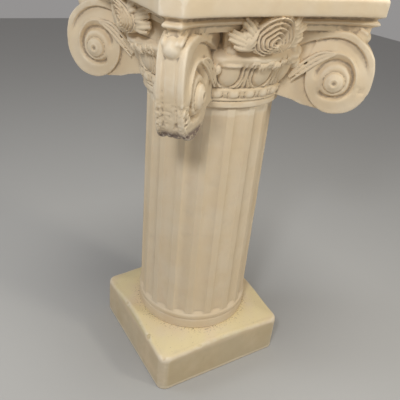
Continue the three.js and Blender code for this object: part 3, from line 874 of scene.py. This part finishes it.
def shaded_underside(n, colour, place):
    """Painted shade: the front volute's broken underside is coloured dark brown, as the shade it lies in."""
    x, y, z = place
    out = n.math("ADD", n.math("MULTIPLY", x, -0.70711), n.math("MULTIPLY", y, -0.70711))
    # Painted shade, in patches, low on the front volute's outer end.
    underside_shade = n.math("MULTIPLY", n.between(out, 0.17, 0.19), n.between(z, 0.582, 0.572))
    underside_shade = n.math("MULTIPLY", underside_shade, n.between(n.noise(0.008, 3), 0.3, 0.5))
    return n.mix(n.math("MULTIPLY", underside_shade, 0.85), colour, UNDERSIDE_SHADE)


def plaster(name, shading, marks=None):
    """Cream cast plaster, with painted shade and some dirt in its hollows and a painted highlight with some
    wear on its ridges.
    """
    material = bpy.data.materials.new(name)
    material.use_nodes = True
    n = Nodes(material)
    colour = n.mix(n.between(n.noise(0.06, 4), 0.35, 0.7), CREAM, PALE)
    blush = n.between(n.noise(0.035, 5, 0.6), 0.5, 0.8)
    colour = n.mix(n.math("MULTIPLY", blush, 0.5), colour, PINKISH)
    if marks:
        xyz = n.add("ShaderNodeSeparateXYZ")
        n.put(xyz.inputs[0], n.place)
        colour = marks(n, colour, xyz.outputs)
    hollow = n.add("ShaderNodeAttribute", attribute_name="hollow").outputs["Fac"]
    # Painted shade with some settled dirt: the hollows are darkened toward SHADE, in patches.
    dirt_and_hollow_shade = n.math("MULTIPLY", n.between(hollow, 0.25, 1.1), n.between(n.noise(0.02, 4), -0.1, 0.4))
    colour = n.mix(n.math("MULTIPLY", dirt_and_hollow_shade, shading), colour, SHADE)
    # Painted highlight with some wear: the ridges are lightened toward a pale cream.
    wear_and_highlight = n.between(hollow, -0.4, -1.2)
    colour = n.mix(n.math("MULTIPLY", wear_and_highlight, 0.5), colour, WEAR_AND_HIGHLIGHT)
    n.put(n.shader.inputs["Base Color"], colour)
    n.put(n.shader.inputs["Roughness"], n.math("ADD", n.math("MULTIPLY", n.noise(0.01, 3), 0.2), 0.6))
    n.shader.inputs["Specular IOR Level"].default_value = 0.35
    relief = n.math("ADD", n.math("MULTIPLY", n.noise(0.0035, 4, 0.6), 0.6), n.noise(0.012, 3))
    bump_node = n.add("ShaderNodeBump")
    n.put(bump_node.inputs["Height"], relief)
    bump_node.inputs["Strength"].default_value = 0.35
    bump_node.inputs["Distance"].default_value = 0.0008
    n.put(n.shader.inputs["Normal"], bump_node.outputs[0])
    return material


def finish_piece(piece, node, material):
    piece.data.materials.clear()
    piece.data.materials.append(material)
    piece.data.shade_smooth()
    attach(piece, "root")
    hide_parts(node)


def make_camera():
    a, e, r = np.radians([CAMERA_AZIMUTH, CAMERA_ELEVATION, CAMERA_ROLL])
    back = np.array([np.sin(a) * np.cos(e), -np.cos(a) * np.cos(e), np.sin(e)])
    right = np.array([np.cos(a), np.sin(a), 0])
    up = np.cross(back, right)
    axes = [right * np.cos(r) + up * np.sin(r), up * np.cos(r) - right * np.sin(r), back]
    camera = bpy.data.objects.new("camera", bpy.data.cameras.new("camera"))
    bpy.context.scene.collection.objects.link(camera)
    turn = Matrix([list(row) for row in np.array(axes).T]).to_4x4()
    camera.matrix_world = Matrix.Translation(CAMERA_PLACE) @ turn
    camera.data.sensor_width = SENSOR_WIDTH
    camera.data.lens = SENSOR_WIDTH * FOCAL_PIXELS / IMAGE_SIDE
    camera.data.shift_x = (IMAGE_SIDE / 2 - IMAGE_CENTRE[0]) / IMAGE_SIDE
    camera.data.shift_y = (IMAGE_CENTRE[1] - IMAGE_SIDE / 2) / IMAGE_SIDE
    camera.data.clip_start = 0.01
    bpy.context.scene.camera = camera


def make_light(name, place, target, size, watts, colour):
    light = bpy.data.lights.new(name, "AREA")
    light.shape = "DISK"
    light.size = size
    light.energy = watts
    light.color = colour
    holder = bpy.data.objects.new(name, light)
    bpy.context.scene.collection.objects.link(holder)
    back = np.array(place, float) - np.array(target, float)
    back /= np.linalg.norm(back)
    right = np.cross((0, 0, 1), back)
    right /= np.linalg.norm(right)
    axes = np.array([right, np.cross(back, right), back]).T
    holder.matrix_world = Matrix.Translation(place) @ Matrix([list(row) for row in axes]).to_4x4()


def make_stage():
    mesh = bpy.data.meshes.new("floor")
    corners = [(x * FLOOR_HALF, y * FLOOR_HALF, 0) for x, y in [(-1, -1), (1, -1), (1, 1), (-1, 1)]]
    mesh.from_pydata(corners, [], [(0, 1, 2, 3)])
    floor = bpy.data.objects.new("floor", mesh)
    bpy.context.scene.collection.objects.link(floor)
    material = bpy.data.materials.new("pale_floor")
    material.use_nodes = True
    material.node_tree.nodes["Principled BSDF"].inputs["Base Color"].default_value = FLOOR_GREY
    material.node_tree.nodes["Principled BSDF"].inputs["Roughness"].default_value = 0.9
    mesh.materials.append(material)
    world = bpy.data.worlds.new("studio")
    world.use_nodes = True
    world.node_tree.nodes["Background"].inputs["Color"].default_value = WORLD_WHITE
    world.node_tree.nodes["Background"].inputs["Strength"].default_value = WORLD_STRENGTH
    bpy.context.scene.world = world
    bpy.context.scene.view_settings.view_transform = "Standard"


make_camera()
make_stage()
make_light("left", (-0.75, -0.75, 1.25), (0, 0, 0.4), 0.2, 5.5, (0.96, 0.98, 1.0))
make_light("right", (0.75, -1.25, 1.3), (0, 0, 0.4), 0.3, 6.0, (1.0, 0.96, 0.82))
make_light("overhead", (-0.1, -0.25, 2.1), (0, 0, 0.3), 0.7, 16, (1.0, 0.98, 0.92))
make_light("side", (-1.5, 0.8, 1.9), (0, 0, 0.55), 0.6, 6, (0.86, 0.95, 1.0))

capital_piece = capital()
flower_piece = flowers()
shaft_piece = shaft()
plinth_piece = plinth()
for piece in (capital_piece, flower_piece, shaft_piece, plinth_piece):
    mark_hollows(piece)
capital_plaster = plaster("capital_plaster", 0.75, shaded_underside)
finish_piece(capital_piece, "capital", capital_plaster)
finish_piece(flower_piece, "capital", capital_plaster)
finish_piece(shaft_piece, "shaft", plaster("shaft_plaster", 0.1))
finish_piece(plinth_piece, "plinth", plaster("plinth_plaster", 0.12, plinth_dirt_and_shade))
